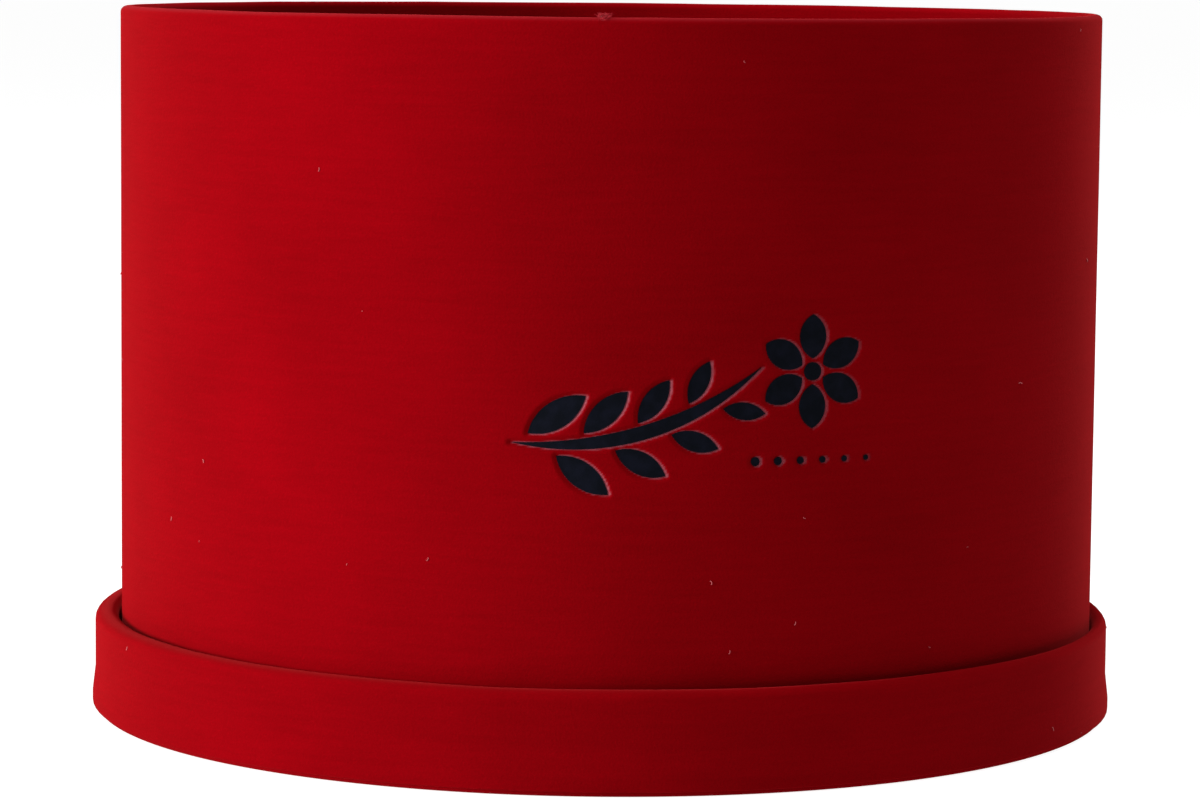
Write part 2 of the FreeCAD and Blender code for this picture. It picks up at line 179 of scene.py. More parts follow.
# Pulp from mixed waste paper: dull, grey-brown, and flecked with fibres of other colours.
greyboard, tree = new_material("pressed_greyboard")
fibre_mm, fleck_mm = 1.2, 0.5
coords = add_node(tree, "ShaderNodeTexCoord").outputs["Object"]
pulp = add_node(
    tree, "ShaderNodeTexNoise", {"Vector": coords, "Scale": 1000 / fibre_mm, "Detail": 6.0, "Roughness": 0.7}
)
pulp_tone = add_node(tree, "ShaderNodeMapRange", {"Value": pulp, "From Min": 0.3, "From Max": 0.7})
pulp_colour = add_node(
    tree,
    "ShaderNodeMix",
    {"Factor": pulp_tone, "A": linear("#7d766b"), "B": linear("#a49b8d")},
    data_type="RGBA",
)
flecks = add_node(tree, "ShaderNodeTexVoronoi", {"Vector": coords, "Scale": 1000 / fleck_mm})
fleck_share = add_node(
    tree, "ShaderNodeMapRange", {"Value": flecks.outputs["Distance"], "From Min": 0.12, "From Max": 0.06}
)
flecked = add_node(
    tree,
    "ShaderNodeMix",
    {"Factor": fleck_share, "A": pulp_colour, "B": linear("#4c4740")},
    data_type="RGBA",
)
pulp_relief = add_node(tree, "ShaderNodeBump", {"Height": pulp, "Distance": 0.00005})
board = add_node(
    tree,
    "ShaderNodeBsdfPrincipled",
    {"Base Color": flecked, "Roughness": 0.9, "Specular IOR Level": 0.25, "Normal": pulp_relief},
)
add_node(tree, "ShaderNodeOutputMaterial", {"Surface": board})

for name in ("box_wall_board", "box_base_board", "lid_ring_board", "lid_disc_board"):
    finish_node(name, greyboard)


# --- Corner stay -------------------------------------------------------------------------------------------
# A strip of gummed kraft paper round the inside of the box. It ties the base to the tube, and the lining is
# glued over it.

# Unbleached kraft: brown, slightly glazed, and streaked by long fibres that run with the strip.
kraft, tree = new_material("gummed_kraft_paper")
kraft_long_mm, kraft_high_mm = 3.5, 0.5
coords = add_node(tree, "ShaderNodeTexCoord").outputs["Object"]
with_strip = add_node(
    tree, "ShaderNodeMapping", {"Vector": coords, "Scale": (1, 1, kraft_long_mm / kraft_high_mm)}
)
kraft_fibres = add_node(
    tree, "ShaderNodeTexNoise", {"Vector": with_strip, "Scale": 1000 / kraft_long_mm, "Detail": 5.0}
)
kraft_colour = add_node(
    tree,
    "ShaderNodeMix",
    {"Factor": kraft_fibres, "A": linear("#846343"), "B": linear("#b69166")},
    data_type="RGBA",
)
kraft_relief = add_node(tree, "ShaderNodeBump", {"Height": kraft_fibres, "Distance": 0.00002})
strip = add_node(
    tree, "ShaderNodeBsdfPrincipled", {"Base Color": kraft_colour, "Roughness": 0.65, "Normal": kraft_relief}
)
add_node(tree, "ShaderNodeOutputMaterial", {"Surface": strip})
finish_node("box_corner_stay", kraft)


# --- Linings -----------------------------------------------------------------------------------------------
# Dark red paper with a coating that keeps damp out: glued up the inside of the wall, and over the floor card
# and the floor of the lid.


def coated_paper(name, wound_pitch_mm):
    """Coated lining paper. Behind it may be a tube wound of strips this far apart, or 0 for none."""
    # Dyed paper under a thin matt varnish: an even deep red, an eggshell of fibres, and a low broken shine.
    cloud_mm, eggshell_mm = 22, 0.7
    material, tree = new_material(name)
    coords = add_node(tree, "ShaderNodeTexCoord").outputs["Object"]
    clouds = add_node(tree, "ShaderNodeTexNoise", {"Vector": coords, "Scale": 1000 / cloud_mm, "Detail": 4.0})
    cloud_tone = add_node(tree, "ShaderNodeMapRange", {"Value": clouds, "From Min": 0.35, "From Max": 0.65})
    colour = add_node(
        tree,
        "ShaderNodeMix",
        {"Factor": cloud_tone, "A": linear("#800815"), "B": linear("#860917")},
        data_type="RGBA",
    )
    eggshell = add_node(
        tree, "ShaderNodeTexNoise", {"Vector": coords, "Scale": 1000 / eggshell_mm, "Detail": 3.0}
    )
    relief = add_node(tree, "ShaderNodeBump", {"Height": eggshell, "Distance": 0.00002})
    if wound_pitch_mm:
        # The joints of a tube's strips climb round it, one turn to a pitch, and dent the paper over them.
        where = add_node(tree, "ShaderNodeSeparateXYZ", {"Vector": coords}).outputs
        bearing = add_node(tree, "ShaderNodeMath", {0: where["Y"], 1: where["X"]}, operation="ARCTAN2")
        rise = add_node(
            tree, "ShaderNodeMath", {0: where["Z"], 1: 1000 / wound_pitch_mm}, operation="MULTIPLY"
        )
        turns = add_node(
            tree, "ShaderNodeMath", {0: bearing, 1: 1 / (2 * pi), 2: rise}, operation="MULTIPLY_ADD"
        )
        from_joint = add_node(tree, "ShaderNodeMath", {0: turns, 1: 0.5}, operation="PINGPONG")
        dent = add_node(
            tree,
            "ShaderNodeMapRange",
            {"Value": from_joint, "From Min": 0.0, "From Max": 1.0 / wound_pitch_mm},
            interpolation_type="SMOOTHSTEP",
        )
        relief = add_node(tree, "ShaderNodeBump", {"Height": dent, "Distance": 0.00006, "Normal": relief})
    paper = add_node(
        tree,
        "ShaderNodeBsdfPrincipled",
        {
            "Base Color": colour,
            "Roughness": 0.62,
            "Specular IOR Level": 0.2,
            "Normal": relief,
        },
    )
    add_node(tree, "ShaderNodeOutputMaterial", {"Surface": paper})
    return material


finish_node("box_wall_lining", coated_paper("coated_lining_paper_on_the_tube", 62))
flat_lining = coated_paper("coated_lining_paper", 0)
for name in ("box_floor_card", "lid_floor_lining"):
    finish_node(name, flat_lining)


# --- Base cover --------------------------------------------------------------------------------------------
# A disc of black paper glued under the box. It covers the turned-under edge of the velvet, and the step of
# that edge shows through it.

# Paper dyed right through: dull, a little soft, and scuffed paler where it has stood.
black_paper, tree = new_material("dyed_black_paper")
felt_mm, scuff_mm = 1.1, 16
coords = add_node(tree, "ShaderNodeTexCoord").outputs["Object"]
felt_mark = add_node(tree, "ShaderNodeTexNoise", {"Vector": coords, "Scale": 1000 / felt_mm, "Detail": 4.0})
scuffs = add_node(
    tree, "ShaderNodeTexNoise", {"Vector": coords, "Scale": 1000 / scuff_mm, "Detail": 8.0, "Roughness": 0.7}
)
scuffed = add_node(tree, "ShaderNodeMapRange", {"Value": scuffs, "From Min": 0.5, "From Max": 0.85})
cover_colour = add_node(
    tree,
    "ShaderNodeMix",
    {"Factor": scuffed, "A": linear("#191718"), "B": linear("#423d3d")},
    data_type="RGBA",
)
felt_relief = add_node(tree, "ShaderNodeBump", {"Height": felt_mark, "Distance": 0.00003})
cover = add_node(
    tree,
    "ShaderNodeBsdfPrincipled",
    {"Base Color": cover_colour, "Roughness": 0.8, "Specular IOR Level": 0.3, "Normal": felt_relief},
)
add_node(tree, "ShaderNodeOutputMaterial", {"Surface": cover})
finish_node("box_base_cover", black_paper)


# --- Velvet of the box -------------------------------------------------------------------------------------
# Red flocked velvet on a paper backing: one sheet glued round the tube, folded in over the rim and turned
# under the base, with its ends butted at the back. A hot die has pressed the pile flat under the emblem.

# Flock is upright nylon fibre, so it is dull and deep face on, and catches light where the eye grazes it. The
# pile leans a little in soft patches, and in streaks where it was brushed round the box.
red_velvet, tree = new_material("red_flocked_velvet")
patch_mm, streak_long_mm, streak_high_mm = 38, 16, 1.3
tuft_mm = 0.45  # Real tufts are about 0.1 mm wide, too fine to show.
streak_share, tuft_share = 0.7, 0.6
coords = add_node(tree, "ShaderNodeTexCoord").outputs["Object"]
patches = add_node(tree, "ShaderNodeTexNoise", {"Vector": coords, "Scale": 1000 / patch_mm, "Detail": 3.0})
brushed = add_node(
    tree, "ShaderNodeMapping", {"Vector": coords, "Scale": (1, 1, streak_long_mm / streak_high_mm)}
)
streaks = add_node(
    tree,
    "ShaderNodeTexNoise",
    {"Vector": brushed, "Scale": 1000 / streak_long_mm, "Detail": 5.0, "Roughness": 0.6},
)
tufts = add_node(
    tree, "ShaderNodeTexNoise", {"Vector": coords, "Scale": 1000 / tuft_mm, "Detail": 2.0, "Roughness": 0.6}
)
lean = add_node(tree, "ShaderNodeMath", {0: streaks, 1: streak_share, 2: patches}, operation="MULTIPLY_ADD")
pile = add_node(tree, "ShaderNodeMath", {0: tufts, 1: tuft_share, 2: lean}, operation="MULTIPLY_ADD")
pile_tone = add_node(tree, "ShaderNodeMapRange", {"Value": pile, "From Min": 0.75, "From Max": 1.55})
upright_colour = add_node(
    tree,
    "ShaderNodeMix",
    {"Factor": pile_tone, "A": linear("#640105"), "B": linear("#730107")},
    data_type="RGBA",
)
# Painted highlight and painted sheen: the pile is paler on the lit right-hand side of the emblem's strokes,
# and along the top of the fold over the rim.
paleness = add_node(tree, "ShaderNodeAttribute", attribute_name="paleness").outputs["Fac"]
pile_colour = add_node(
    tree,
    "ShaderNodeMix",
    {"Factor": paleness, "A": upright_colour, "B": linear("#7d3c45")},
    data_type="RGBA",
)
pile_relief = add_node(tree, "ShaderNodeBump", {"Height": pile, "Distance": 0.0001})
flock = add_node(
    tree,
    "ShaderNodeBsdfPrincipled",
    {
        "Base Color": pile_colour,
        "Roughness": 1.0,
        "Specular IOR Level": 0.0,
        "Sheen Weight": 0.15,
        "Sheen Roughness": 0.45,
        "Sheen Tint": linear("#ff5050"),
        "Normal": pile_relief,
    },
)
add_node(tree, "ShaderNodeOutputMaterial", {"Surface": flock})


def rounded_outline(corners, closed):
    """Points along a polygon with rounded corners, as (radius, height).

    Each corner is (radius, height, rounding, step), where step spaces the points up to the next corner.
    """
    spots = [Vector(corner[:2]) for corner in corners]
    arcs = []
    for number, (spot, corner) in enumerate(zip(spots, corners)):
        rounding = corner[2]
        if not rounding:
            arcs.append([spot])
            continue
        back = (spots[number - 1] - spot).normalized()
        onward = (spots[(number + 1) % len(spots)] - spot).normalized()
        half = acos(back.dot(onward)) / 2
        centre = spot + (back + onward).normalized() * rounding / sin(half)
        start = (spot + back * rounding / tan(half) - centre).normalized()
        stop = (spot + onward * rounding / tan(half) - centre).normalized()
        bends = 9
        arcs.append([centre + start.slerp(stop, bend / bends) * rounding for bend in range(bends + 1)])
    points = []
    for number, arc in enumerate(arcs):
        points += arc
        if closed or number < len(arcs) - 1:
            run = arcs[(number + 1) % len(arcs)][0] - arc[-1]
            parts = max(1, round(run.length / corners[number][3]))
            points += [arc[-1] + run * part / parts for part in range(1, parts)]
    return points


def bearings(front, front_step, plain_step, seam, seam_step):
    """Angles all the way round from the seam at the back, close together at the front and at the seam."""
    half = [0.0]
    for stop, step in ((front, front_step), (pi - seam, plain_step), (pi, seam_step)):
        start = half[-1]
        parts = max(1, round((stop - start) / step))
        half += [start + (stop - start) * part / parts for part in range(1, parts + 1)]
    return [-angle for angle in reversed(half[1:])] + half


def wrap_tree():
    """Nodes that wrap a sheet of velvet, given by its outline, round an axis."""
    tree = bpy.data.node_groups.new("velvet_wrap", "GeometryNodeTree")
    for name, kind in (
        ("Outline", "Object"),
        ("Bearings", "Object"),
        ("Rows", "Int"),
        ("Axis", "Vector"),
        ("Face radius", "Float"),
        ("Film", "Object"),
        ("Film depth", "Float"),
        ("Press depth", "Float"),
        ("Press margin", "Float"),
        ("Press slope", "Float"),
        # The next five set painted light in the velvet's colour: a highlight beside the emblem, and sheen
        # along the fold at the rim.
        ("Painted highlight", "Float"),
        ("Painted highlight shift", "Vector"),
        ("Painted highlight width", "Float"),
        ("Fold top", "Float"),
        ("Painted rim sheen", "Float"),
        ("Seam depth", "Float"),
        ("Seam width", "Float"),
        ("Pucker depth", "Float"),
        ("Pucker top", "Float"),
        ("Puckers", "Float"),
        ("Sway", "Float"),
        ("Fold wave", "Float"),
        ("Wave bottom", "Float"),
        ("Slack", "Vector"),
        ("Wave length", "Float"),
        ("Seed", "Float"),
        ("Velvet", "Material"),
    ):
        tree.interface.new_socket(name, in_out="INPUT", socket_type="NodeSocket" + kind)
    tree.interface.new_socket("Sheet", in_out="OUTPUT", socket_type="NodeSocketGeometry")
    given = add_node(tree, "NodeGroupInput").outputs

    # A grid has a column for each bearing and a row for each point of the outline. It is bent round the axis.
    outline = add_node(tree, "GeometryNodeObjectInfo", {"Object": given["Outline"]}).outputs["Geometry"]
    spread = add_node(tree, "GeometryNodeObjectInfo", {"Object": given["Bearings"]}).outputs["Geometry"]
    rows = add_node(tree, "GeometryNodeAttributeDomainSize", {"Geometry": outline}).outputs["Point Count"]
    columns = add_node(tree, "GeometryNodeAttributeDomainSize", {"Geometry": spread})
    grid = add_node(
        tree,
        "GeometryNodeMeshGrid",
        {"Vertices X": columns.outputs["Point Count"], "Vertices Y": given["Rows"]},
    ).outputs["Mesh"]
    number = add_node(tree, "GeometryNodeInputIndex")
    column = add_node(
        tree, "FunctionNodeIntegerMath", {0: number, 1: given["Rows"]}, operation="DIVIDE_FLOOR"
    )
    place = add_node(tree, "FunctionNodeIntegerMath", {0: number, 1: given["Rows"]}, operation="MODULO")
    row = add_node(tree, "FunctionNodeIntegerMath", {0: place, 1: rows}, operation="MODULO")
    position = add_node(tree, "GeometryNodeInputPosition")
    outline_point = add_node(
        tree,
        "GeometryNodeSampleIndex",
        {"Geometry": outline, "Value": position, "Index": row},
        data_type="FLOAT_VECTOR",
    )
    bearing_point = add_node(
        tree,
        "GeometryNodeSampleIndex",
        {"Geometry": spread, "Value": position, "Index": column},
        data_type="FLOAT_VECTOR",
    )
    bearing = add_node(tree, "ShaderNodeSeparateXYZ", {0: bearing_point}).outputs["X"]
    turned = add_node(
        tree,
        "ShaderNodeVectorRotate",
        {"Vector": outline_point, "Center": given["Axis"], "Angle": bearing},
        rotation_type="Z_AXIS",
    )
    bent = add_node(tree, "GeometryNodeSetPosition", {"Geometry": grid, "Position": turned})
    joined = add_node(tree, "GeometryNodeMergeByDistance", {"Geometry": bent, "Distance": 0.00001})

    from_axis = add_node(tree, "ShaderNodeVectorMath", {0: position, 1: given["Axis"]}, operation="SUBTRACT")
    off = add_node(tree, "ShaderNodeSeparateXYZ", {0: from_axis}).outputs
    across = add_node(tree, "ShaderNodeCombineXYZ", {"X": off["X"], "Y": off["Y"]})
    radius = add_node(tree, "ShaderNodeVectorMath", {0: across}, operation="LENGTH").outputs["Value"]
    normal = add_node(tree, "GeometryNodeInputNormal")

    # The pile sinks on the face over the emblem's film, and slopes up round it.
    minus_depth = add_node(tree, "ShaderNodeMath", {0: given["Film depth"], 1: -1.0}, operation="MULTIPLY")
    down_to_film = add_node(
        tree, "ShaderNodeVectorMath", {0: normal, "Scale": minus_depth}, operation="SCALE"
    )
    at_film = add_node(tree, "ShaderNodeVectorMath", {0: position, 1: down_to_film}, operation="ADD")
    film = add_node(tree, "GeometryNodeObjectInfo", {"Object": given["Film"]}).outputs["Geometry"]
    from_film = add_node(
        tree, "GeometryNodeProximity", {0: film, "Sample Position": at_film}, target_element="FACES"
    ).outputs["Distance"]
    slope_end = add_node(
        tree, "ShaderNodeMath", {0: given["Press margin"], 1: given["Press slope"]}, operation="ADD"
    )
    press = add_node(
        tree,
        "ShaderNodeMapRange",
        {"Value": from_film, 1: given["Press margin"], 2: slope_end, 3: given["Press depth"], 4: 0.0},
        interpolation_type="SMOOTHSTEP",
    )
    on_face = add_node(tree, "ShaderNodeMath", {0: radius, 1: given["Face radius"]}, operation="GREATER_THAN")

    # Painted highlight: the slope beyond the film is made paler on its right side only, where the groove's
    # wall faces the lamp at the left. The film is moved that way, and the distance to it gives the band.
    highlight_sample_spot = add_node(
        tree, "ShaderNodeVectorMath", {0: at_film, 1: given["Painted highlight shift"]}, operation="SUBTRACT"
    )
    from_shifted_film = add_node(
        tree, "GeometryNodeProximity", {0: film, "Sample Position": highlight_sample_spot}, target_element="FACES"
    ).outputs["Distance"]
    highlight_falloff = add_node(
        tree,
        "ShaderNodeMapRange",
        {"Value": from_shifted_film, 1: 0.0, 2: given["Painted highlight width"], 3: given["Painted highlight"], 4: 0.0},
        interpolation_type="SMOOTHSTEP",
    )
    painted_highlight = add_node(tree, "ShaderNodeMath", {0: highlight_falloff, 1: on_face}, operation="MULTIPLY")

    # Painted sheen: a band over the top of the fold at the rim, on its outer side, is made paler for the
    # sheen that light from above gives it.
    sheen_down, sheen_in = 0.0008, 0.0012
    fold_start = add_node(tree, "ShaderNodeMath", {0: given["Fold top"], 1: sheen_down}, operation="SUBTRACT")
    sheen_rise = add_node(
        tree,
        "ShaderNodeMapRange",
        {"Value": off["Z"], 1: fold_start, 2: given["Fold top"], 3: 0.0, 4: given["Painted rim sheen"]},
        interpolation_type="SMOOTHSTEP",
    )
    fold_out = add_node(tree, "ShaderNodeMath", {0: given["Face radius"], 1: sheen_in}, operation="SUBTRACT")
    outside = add_node(tree, "ShaderNodeMath", {0: radius, 1: fold_out}, operation="GREATER_THAN")
    painted_rim_sheen = add_node(tree, "ShaderNodeMath", {0: sheen_rise, 1: outside}, operation="MULTIPLY")
    # Paler wherever the painted highlight or the painted sheen lies.
    pale = add_node(tree, "ShaderNodeMath", {0: painted_highlight, 1: painted_rim_sheen}, operation="MAXIMUM")

    # The two ends of the sheet dip where they meet at the back.
    behind = add_node(tree, "ShaderNodeMath", {0: off["Y"], 1: 0.0}, operation="GREATER_THAN")
    from_seam = add_node(tree, "ShaderNodeMath", {0: off["X"]}, operation="ABSOLUTE")
    dip = add_node(
        tree,
        "ShaderNodeMapRange",
        {"Value": from_seam, 1: 0.0, 2: given["Seam width"], 3: given["Seam depth"], 4: 0.0},
        interpolation_type="SMOOTHSTEP",
    )
    seam = add_node(tree, "ShaderNodeMath", {0: dip, 1: behind}, operation="MULTIPLY")
    press_and_seam = add_node(tree, "ShaderNodeMath", {0: press, 1: seam}, operation="ADD")
    face_sink = add_node(tree, "ShaderNodeMath", {0: press_and_seam, 1: on_face}, operation="MULTIPLY")

    # Velvet turned under is wider than the circle that it is turned to, and puckers more further in.
    pucker_run = 0.006
    low_down = add_node(tree, "ShaderNodeMath", {0: off["Z"], 1: given["Pucker top"]}, operation="LESS_THAN")
    turned_in = add_node(tree, "ShaderNodeMath", {0: given["Face radius"], 1: radius}, operation="SUBTRACT")
    fullness = add_node(
        tree,
        "ShaderNodeMapRange",
        {"Value": turned_in, 1: 0.0, 2: pucker_run, 3: 0.0, 4: given["Pucker depth"]},
    )
    angle = add_node(tree, "ShaderNodeMath", {0: off["X"], 1: off["Y"]}, operation="ARCTAN2")
    phase = add_node(tree, "ShaderNodeMath", {0: angle, 1: given["Puckers"]}, operation="MULTIPLY")
    swing = add_node(tree, "ShaderNodeMath", {0: phase}, operation="SINE")
    fold = add_node(tree, "ShaderNodeMath", {0: swing}, operation="ABSOLUTE")
    pucker = add_node(tree, "ShaderNodeMath", {0: fold, 1: fullness}, operation="MULTIPLY")
    sink = add_node(tree, "ShaderNodeMath", {0: pucker, 1: low_down, 2: face_sink}, operation="MULTIPLY_ADD")

    # Board and glue lie a little uneven, and so do the folds over their edges.
    scale = add_node(tree, "ShaderNodeMath", {0: 1.0, 1: given["Wave length"]}, operation="DIVIDE")
    uneven = add_node(
        tree,
        "ShaderNodeTexNoise",
        {"Vector": position, "W": given["Seed"], "Scale": scale, "Detail": 2.0},
        noise_dimensions="4D",
    )
    unevenness = add_node(tree, "ShaderNodeMath", {0: uneven, 1: 0.5}, operation="SUBTRACT")
    minus_sink = add_node(tree, "ShaderNodeMath", {0: sink, 1: -1.0}, operation="MULTIPLY")
    push = add_node(
        tree, "ShaderNodeMath", {0: unevenness, 1: given["Sway"], 2: minus_sink}, operation="MULTIPLY_ADD"
    )
    pushed = add_node(tree, "ShaderNodeVectorMath", {0: normal, "Scale": push}, operation="SCALE")
    high_up = add_node(
        tree, "ShaderNodeMath", {0: off["Z"], 1: given["Wave bottom"]}, operation="GREATER_THAN"
    )
    wave_here = add_node(tree, "ShaderNodeMath", {0: high_up, 1: given["Fold wave"]}, operation="MULTIPLY")
    lift = add_node(tree, "ShaderNodeMath", {0: unevenness, 1: wave_here}, operation="MULTIPLY")
    lifted = add_node(tree, "ShaderNodeCombineXYZ", {"Z": lift})
    moved = add_node(tree, "ShaderNodeVectorMath", {0: pushed, 1: lifted}, operation="ADD")

    # Velvet that is only folded over an edge, and not glued to it, leans over inside the edge.
    slack_high, slack_wide = 0.006, 0.0022
    slack_end = add_node(tree, "ShaderNodeMath", {0: given["Wave bottom"], 1: slack_high}, operation="ADD")
    slack_up = add_node(
        tree,
        "ShaderNodeMapRange",
        {"Value": off["Z"], 1: given["Wave bottom"], 2: slack_end, 3: 0.0, 4: 1.0},
        interpolation_type="SMOOTHSTEP",
    )
    slack_start = add_node(
        tree, "ShaderNodeMath", {0: given["Face radius"], 1: slack_wide}, operation="SUBTRACT"
    )
    slack_in = add_node(
        tree,
        "ShaderNodeMapRange",
        {"Value": radius, 1: slack_start, 2: given["Face radius"], 3: 1.0, 4: 0.0},
        interpolation_type="SMOOTHSTEP",
    )
    slack = add_node(tree, "ShaderNodeMath", {0: slack_up, 1: slack_in}, operation="MULTIPLY")
    leaning = add_node(tree, "ShaderNodeVectorMath", {0: given["Slack"], "Scale": slack}, operation="SCALE")
    leant = add_node(tree, "ShaderNodeVectorMath", {0: moved, 1: leaning}, operation="ADD")
    marked = add_node(
        tree, "GeometryNodeStoreNamedAttribute", {"Geometry": joined, "Name": "paleness", "Value": pale}
    )
    settled = add_node(tree, "GeometryNodeSetPosition", {"Geometry": marked, "Offset": leant})

    smooth = add_node(tree, "GeometryNodeSetShadeSmooth", {"Geometry": settled})
    real = add_node(tree, "GeometryNodeRealizeInstances", {"Geometry": smooth})
    dressed = add_node(tree, "GeometryNodeSetMaterial", {"Geometry": real, "Material": given["Velvet"]})
    add_node(tree, "NodeGroupOutput", {"Sheet": dressed})
    return tree


def made_by(tree, name, values):
    """An object that holds, as a plain mesh, what a tree makes with these values."""
    piece = bpy.data.objects.new(name, bpy.data.meshes.new(name))
    bpy.context.scene.collection.objects.link(piece)
    maker = piece.modifiers.new("maker", "NODES")
    maker.node_group = tree
    for socket in tree.interface.items_tree:
        if socket.in_out == "INPUT" and socket.name in values:
            maker[socket.identifier] = values[socket.name]
    mesh = bpy.data.meshes.new_from_object(piece.evaluated_get(bpy.context.evaluated_depsgraph_get()))
    piece.modifiers.remove(maker)
    piece.data = mesh
    # A mesh made by nodes has an empty material slot before the one that they set.
    mesh.polygons.foreach_set("material_index", [0] * len(mesh.polygons))
    mesh.materials.pop(index=0)
    return piece


def loose_points(name, places):
    """An object of loose points for a tree to read."""
    holder = bpy.data.objects.new(name, bpy.data.meshes.new(name))
    holder.data.from_pydata(places, [], [])
    bpy.context.scene.collection.objects.link(holder)
    return holder


def wrapped(name, axis, corners, closed, angles, values):
    """A sheet of velvet round an axis, from the corners of its outline and the bearings of its columns."""
    points = rounded_outline(corners, closed)
    outline = loose_points("outline", [(axis.x, axis.y - spot.x, spot.y) for spot in points])
    columns = loose_points("bearings", [(angle, 0, 0) for angle in angles])
    own = {"Outline": outline, "Bearings": columns, "Rows": len(points) + closed, "Axis": axis}
    piece = made_by(velvet_wrap, name, {**own, **values})
    bpy.data.objects.remove(outline)
    bpy.data.objects.remove(columns)
    return piece


velvet_wrap = wrap_tree()
velvet_thick = 0.0007
fold_radius = 0.0012
plain_step, emblem_step, seam_step = 0.005, 0.00033, 0.0002
seam_half = 0.003
seam_dip = {"Seam depth": 0.00035, "Seam width": 0.0005}

box_sheet_low, box_sheet_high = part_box("box_wall_velvet")
base_board_low, base_board_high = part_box("box_base_board")
sprig_low, sprig_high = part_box("emblem_sprig_film")
beads_low, beads_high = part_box("emblem_beads_film")
box_radius = (box_sheet_high.y - box_sheet_low.y) / 2
wall_outer = (wall_high.y - wall_low.y) / 2
wall_inner = (base_board_high.y - base_board_low.y) / 2
turn_in, turn_under = 0.016, 0.012
turn_in_radius = wall_inner - velvet_thick
turn_in_bottom = box_sheet_high.z - turn_in
turn_under_radius = box_radius - turn_under
under_step, lip_step, rim_step, hidden_step = 0.003, 0.0004, 0.0006, 0.02
emblem_clear = 0.0015
emblem_bottom = min(sprig_low.z, beads_low.z) - emblem_clear
emblem_top = sprig_high.z + emblem_clear
emblem_left = box_axis.x - sprig_low.x
emblem_right = max(sprig_high.x, beads_high.x) - box_axis.x
emblem_half = max(emblem_left, emblem_right) + emblem_clear

film_copy = bpy.data.objects.new("film_copy", bpy.data.meshes.new("film_copy"))
film_shapes = bmesh.new()
film_shapes.from_mesh(nodes["emblem_sprig_film"].data)
film_shapes.from_mesh(nodes["emblem_beads_film"].data)
film_shapes.to_mesh(film_copy.data)
film_shapes.free()
bpy.context.scene.collection.objects.link(film_copy)

box_velvet = wrapped(
    "box_velvet",
    box_axis,
    [
        (turn_under_radius, box_sheet_low.z, 0, under_step),
        (box_radius, box_sheet_low.z, fold_radius, plain_step),
        (box_radius, emblem_bottom, 0, emblem_step),
        (box_radius, emblem_top, 0, plain_step),
        (box_radius, box_sheet_high.z - 2 * fold_radius, 0, lip_step),
        (box_radius, box_sheet_high.z, fold_radius, rim_step),
        (turn_in_radius, box_sheet_high.z, fold_radius, plain_step),
        (turn_in_radius, turn_in_bottom, 0, plain_step),
        (wall_inner, turn_in_bottom, 0, plain_step),
        (wall_inner, wall_high.z, 0, plain_step),
        (wall_outer, wall_high.z, 0, hidden_step),
        (wall_outer, wall_low.z, 0, under_step),
        (turn_under_radius, wall_low.z, 0, plain_step),
    ],
    True,
    bearings(
        asin(emblem_half / box_radius),
        emblem_step / box_radius,
        plain_step / box_radius,
        seam_half / box_radius,
        seam_step / box_radius,
    ),
    {
        "Face radius": box_radius - velvet_thick / 2,
        "Film": film_copy,
        "Film depth": 0.0004,
        "Press depth": 0.00045,
        "Press margin": 0.00015,
        "Press slope": 0.0006,
        # Painted highlight along the right-hand side of the emblem's strokes, where light from the left
        # catches the groove.
        "Painted highlight": 1.0,
        "Painted highlight shift": right * 0.00038 - up * 0.00004,
        "Painted highlight width": 0.00022,
        # Painted sheen along the outer fold at the rim.
        "Fold top": box_sheet_high.z,
        "Painted rim sheen": 0.11,
        **seam_dip,
        "Pucker depth": 0.0002,
        "Pucker top": box_sheet_low.z + 0.0003,
        "Puckers": 18.0,
        "Sway": 0.00012,
        "Fold wave": 0.0003,
        "Wave bottom": turn_in_bottom - 0.001,
        "Wave length": 0.03,
        "Seed": 1.0,
        "Velvet": red_velvet,
    },
)
bpy.data.objects.remove(film_copy)
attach(box_velvet, "box")
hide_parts("box_wall_velvet")


# --- Emblem ------------------------------------------------------------------------------------------------
# A sprig of leaves with one flower, and a row of dots, of hot-stamping film. A heated die pressed it into the
# pile, which it lies in.

# A thin blue-black pigment layer: almost matt, because the flattened pile shows through it as a fine grain.
stamping_film, tree = new_material("hot_stamped_pigment_film")
grain_mm, wear_mm = 0.4, 2.4
coords = add_node(tree, "ShaderNodeTexCoord").outputs["Object"]
flattened_pile = add_node(
    tree, "ShaderNodeTexNoise", {"Vector": coords, "Scale": 1000 / grain_mm, "Detail": 3.0}
)
wear = add_node(tree, "ShaderNodeTexNoise", {"Vector": coords, "Scale": 1000 / wear_mm, "Detail": 4.0})
worn = add_node(tree, "ShaderNodeMapRange", {"Value": wear, "From Min": 0.4, "From Max": 0.75})
film_colour = add_node(
    tree,
    "ShaderNodeMix",
    {"Factor": worn, "A": linear("#04060d"), "B": linear("#0a0c17")},
    data_type="RGBA",
)
film_relief = add_node(tree, "ShaderNodeBump", {"Height": flattened_pile, "Distance": 0.00003})
film = add_node(
    tree,
    "ShaderNodeBsdfPrincipled",
    {"Base Color": film_colour, "Roughness": 0.6, "Specular IOR Level": 0.04, "Normal": film_relief},
)
add_node(tree, "ShaderNodeOutputMaterial", {"Surface": film})
for name in ("emblem_sprig_film", "emblem_beads_film"):
    finish_node(name, stamping_film)


# --- Velvet of the lid's rim -------------------------------------------------------------------------------
# A strip of the same velvet round the lid. It folds over the ring's edge and runs down the inside to the
# floor, and the margin of the face's velvet swells it along the bottom.

